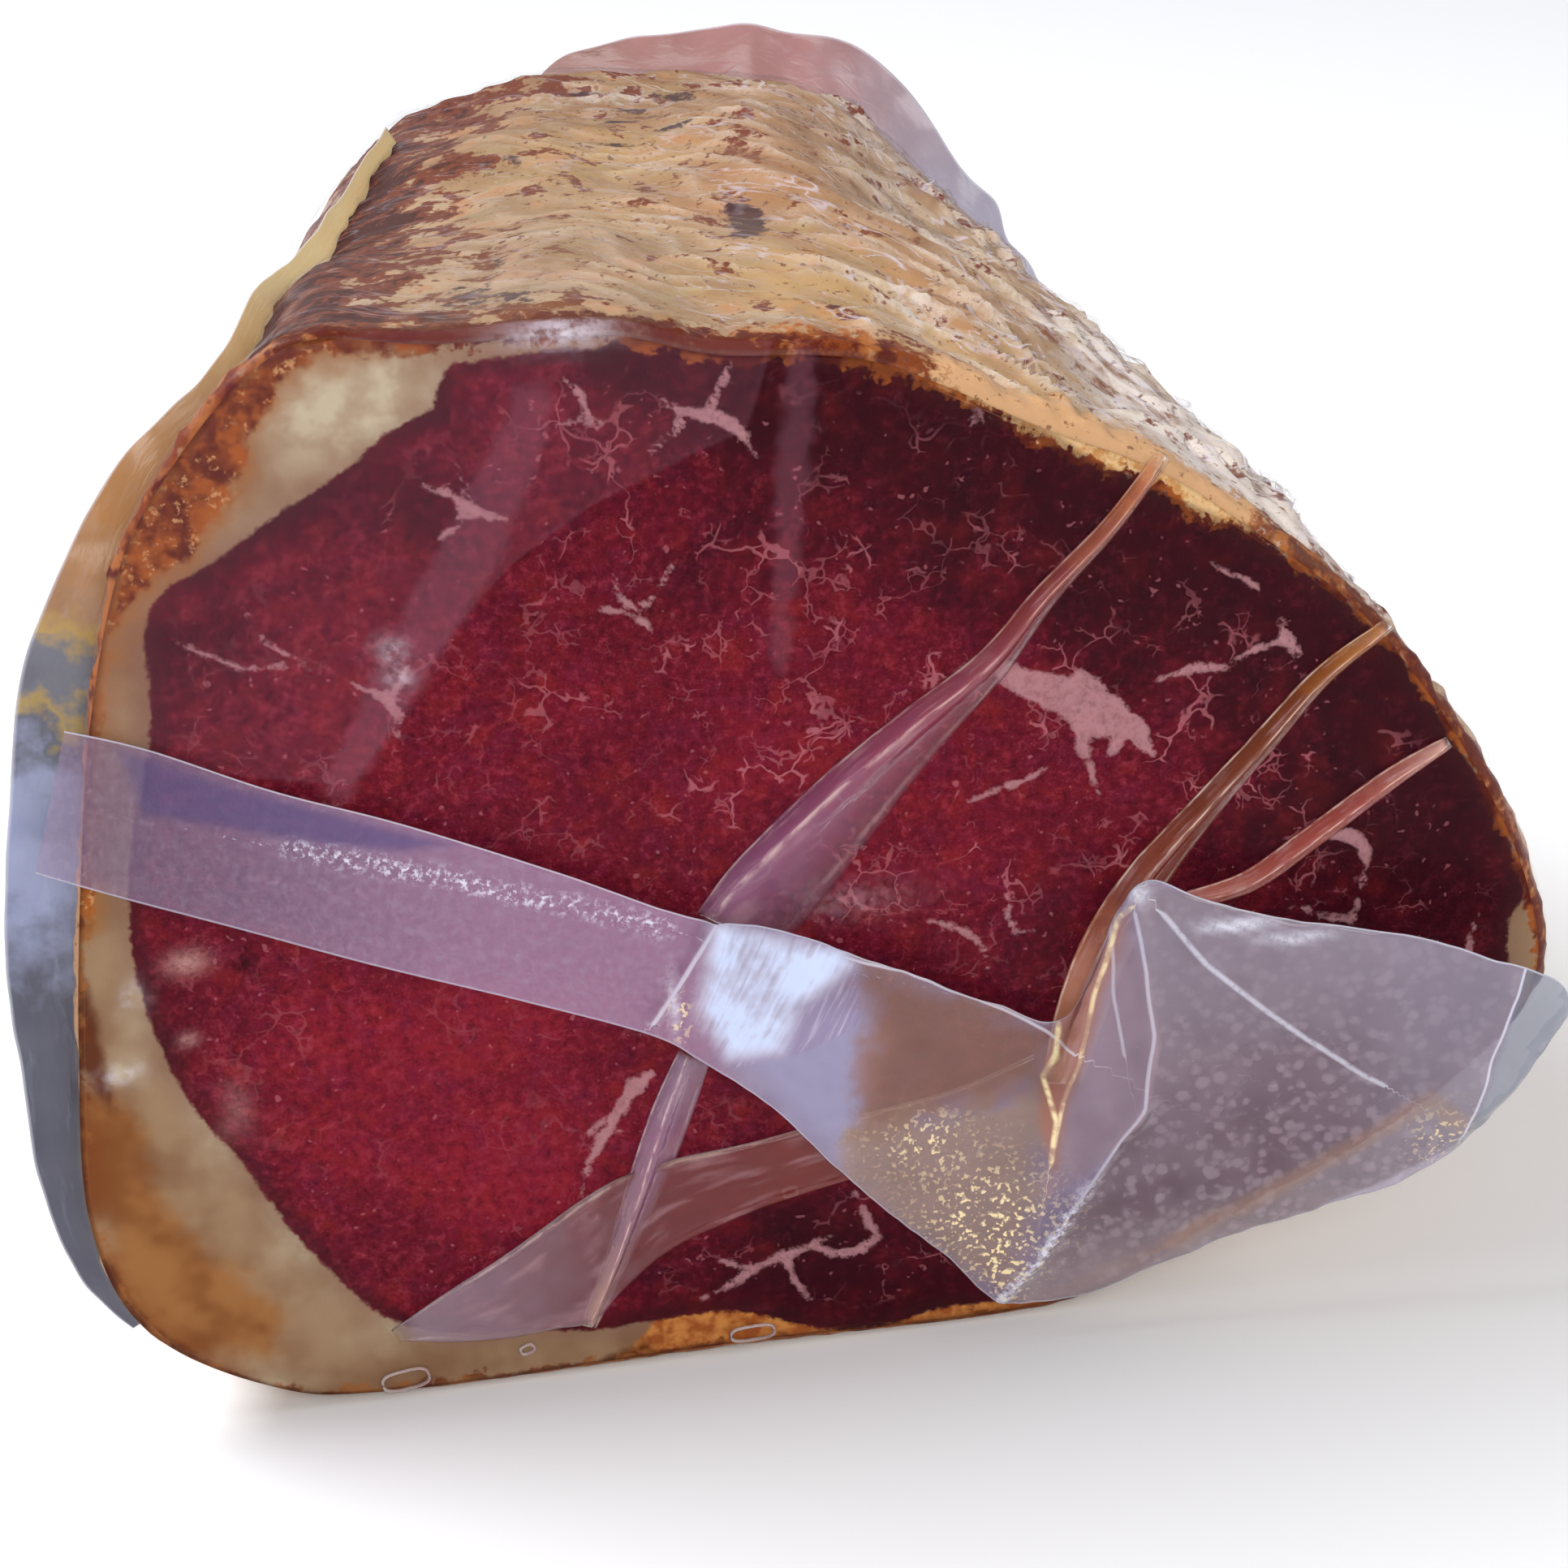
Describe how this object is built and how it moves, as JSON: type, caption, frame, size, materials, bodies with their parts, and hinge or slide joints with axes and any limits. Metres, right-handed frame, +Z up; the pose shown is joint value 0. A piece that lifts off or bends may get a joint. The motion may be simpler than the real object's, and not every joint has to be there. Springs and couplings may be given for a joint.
{
  "type": "vacuum-packed cecina",
  "caption": "Half piece of cured beef with a flat cut face and a rind, sealed in a clear clinging bag with loose welded film.",
  "frame": {"origin": "on the floor, under the middle of the whole pack", "axes": "+Z up; the cut face looks towards -Y and the block runs back along +Y; +X to the right of the face"},
  "size_m": [0.2176, 0.1818, 0.1633],
  "materials": {
    "packed_meat": "dark red cured beef with cream fat and tan rind under clear clinging film",
    "bag_film": "clear crinkled packing film with a lavender grey cast"
  },
  "bodies": {
    "root": {"bag_body": "packed_meat", "mouth_film": "bag_film", "side_margin": "bag_film", "end_margin": "bag_film"}
  },
  "joints": []
}
